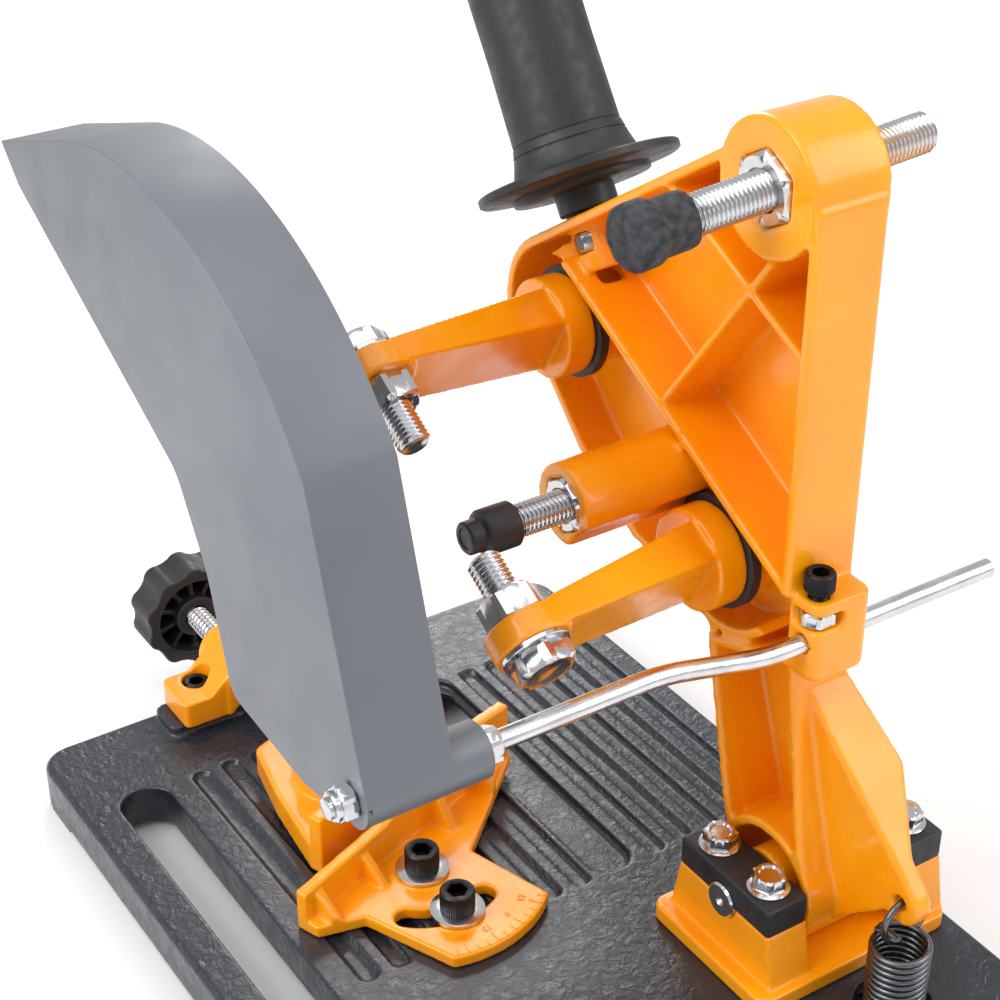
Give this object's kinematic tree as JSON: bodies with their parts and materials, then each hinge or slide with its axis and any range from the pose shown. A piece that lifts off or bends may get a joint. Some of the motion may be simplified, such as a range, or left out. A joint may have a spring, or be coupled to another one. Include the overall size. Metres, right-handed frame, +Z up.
{
  "type": "abrasive chop saw stand",
  "caption": "Cast cut-off saw stand for an angle grinder: slotted base with vise and fence, raised arm, disc guard and handle",
  "frame": {"origin": "under the middle of the base plate, on the surface that the stand rests on", "axes": "+X towards the disc and guard side, +Y towards the arm's pivot at the rear, +Z up"},
  "size_m": [0.313, 0.458, 0.4086],
  "materials": {
    "cast_enamel": "orange enamel, gloss",
    "guard_paint": "satin",
    "base_paint": "matte",
    "zinc": "satin",
    "bright_rod": "polished",
    "black_steel": "satin",
    "spring_steel": "satin",
    "black_plastic": "matte",
    "bushing": "satin",
    "rubber_cap": "matte"
  },
  "bodies": {
    "base": {"base_plate": "base_paint", "pivot_bracket": "cast_enamel", "bearing_cap_left": "black_plastic", "bearing_cap_right": "black_plastic", "bearing_cap_bolts": "zinc", "pivot_pin": "zinc", "bracket_screws": "black_steel", "spring_anchor_pin": "zinc", "return_spring": "spring_steel", "vise_bracket": "cast_enamel", "vise_bracket_screws": "black_steel", "fence_bolts": "black_steel", "fence_washers": "zinc"},
    "arm": {"arm_casting": "cast_enamel", "pivot_bushes": "bushing", "handle_grip": "black_plastic", "handle_stud": "zinc", "handle_lock_nut": "zinc", "rod_clamp_screw": "black_steel", "rod_clamp_nut": "zinc", "upper_support_nut": "zinc", "lower_support_nut": "zinc", "arm_washers": "zinc"},
    "fence_body": {"fence": "cast_enamel"},
    "jaw_carrier": {"jaw_barrel": "zinc"},
    "vise_screw_body": {"vise_screw": "zinc", "vise_knob": "black_plastic", "screw_clip": "zinc"},
    "jaw": {"vise_jaw": "cast_enamel"},
    "rod": {"guard_rod": "bright_rod", "rod_inner_nut": "zinc", "rod_outer_nut": "zinc"},
    "guard": {"guard_shell": "guard_paint", "guard_tube": "guard_paint"},
    "upper_clamp": {"upper_clamp_arm": "cast_enamel", "upper_arm_ring": "black_plastic", "upper_arm_bolt": "zinc", "upper_grinder_washer": "zinc", "upper_grinder_bolt": "zinc", "upper_grinder_nut": "zinc"},
    "lower_clamp": {"lower_clamp_arm": "cast_enamel", "lower_arm_ring": "black_plastic", "lower_arm_bolt": "zinc", "lower_grinder_washer": "zinc", "lower_grinder_bolt": "zinc", "lower_grinder_nut": "zinc"},
    "upper_support_cap_body": {"upper_support_cap": "rubber_cap"},
    "upper_support_screw_body": {"upper_support_screw": "zinc"},
    "lower_support_cap_body": {"lower_support_cap": "black_plastic"},
    "lower_support_screw_body": {"lower_support_screw": "zinc"}
  },
  "joints": [
    {"name": "arm_pivot", "type": "hinge", "parent": "base", "child": "arm", "pos_m": [-0.09, 0.088, 0.057], "axis": [1, 0, 0], "range_deg": [0, 48], "stiffness_Nm_per_rad": 3, "springref_deg": -91.67, "deforming": ["return_spring"]},
    {"name": "fence_swivel", "type": "hinge", "parent": "base", "child": "fence_body", "pos_m": [0.036, -0.022, 0.03], "axis": [0, 0, 1], "range_deg": [-19.6, 10]},
    {"name": "jaw_slide", "type": "slide", "parent": "base", "child": "jaw_carrier", "axis": [0, 1, 0], "range_m": [-0.03, 0.009]},
    {"name": "vise_screw_turn", "type": "hinge", "parent": "jaw_carrier", "child": "vise_screw_body", "pos_m": [0.04, -0.16, 0.045], "axis": [0, 1, 0], "range_deg": [-3610, 1090]},
    {"name": "jaw_swivel", "type": "hinge", "parent": "jaw_carrier", "child": "jaw", "pos_m": [0.04, -0.092, 0.045], "axis": [0, 0, 1], "range_deg": [-17, 10]},
    {"name": "guard_rod_slide", "type": "slide", "parent": "arm", "child": "rod", "axis": [1, 0, 0], "range_m": [-0.01, 0.03]},
    {"name": "guard_swing", "type": "hinge", "parent": "rod", "child": "guard", "pos_m": [0.105, 0.095, 0.193], "axis": [1, 0, 0], "range_deg": [-20, 20]},
    {"name": "upper_clamp_turn", "type": "hinge", "parent": "arm", "child": "upper_clamp", "pos_m": [-0.07, -0.07, 0.251], "axis": [1, 0, 0], "range_deg": [-20, 20]},
    {"name": "lower_clamp_turn", "type": "hinge", "parent": "arm", "child": "lower_clamp", "pos_m": [-0.07, 0.0365, 0.1915], "axis": [1, 0, 0], "range_deg": [-10, 20]},
    {"name": "upper_support_slide", "type": "slide", "parent": "arm", "child": "upper_support_cap_body", "axis": [0.9969, 0, -0.0785], "range_m": [-0.018, 0.018]},
    {"name": "upper_support_turn", "type": "hinge", "parent": "upper_support_cap_body", "child": "upper_support_screw_body", "pos_m": [-0.065, 0.06, 0.3585], "axis": [0.9969, 0, -0.0785], "range_deg": [-3250, 3250]},
    {"name": "lower_support_slide", "type": "slide", "parent": "arm", "child": "lower_support_cap_body", "axis": [1, 0, 0], "range_m": [-0.018, 0]},
    {"name": "lower_support_turn", "type": "hinge", "parent": "lower_support_cap_body", "child": "lower_support_screw_body", "pos_m": [0, 0.008, 0.217], "axis": [1, 0, 0], "range_deg": [-3250, 10]}
  ],
  "couplings": [
    {"joint": "vise_screw_turn", "follows": "jaw_slide", "rad_per_m": 2094.4},
    {"joint": "upper_support_turn", "follows": "upper_support_slide", "rad_per_m": 3141.6},
    {"joint": "lower_support_turn", "follows": "lower_support_slide", "rad_per_m": 3141.6}
  ]
}
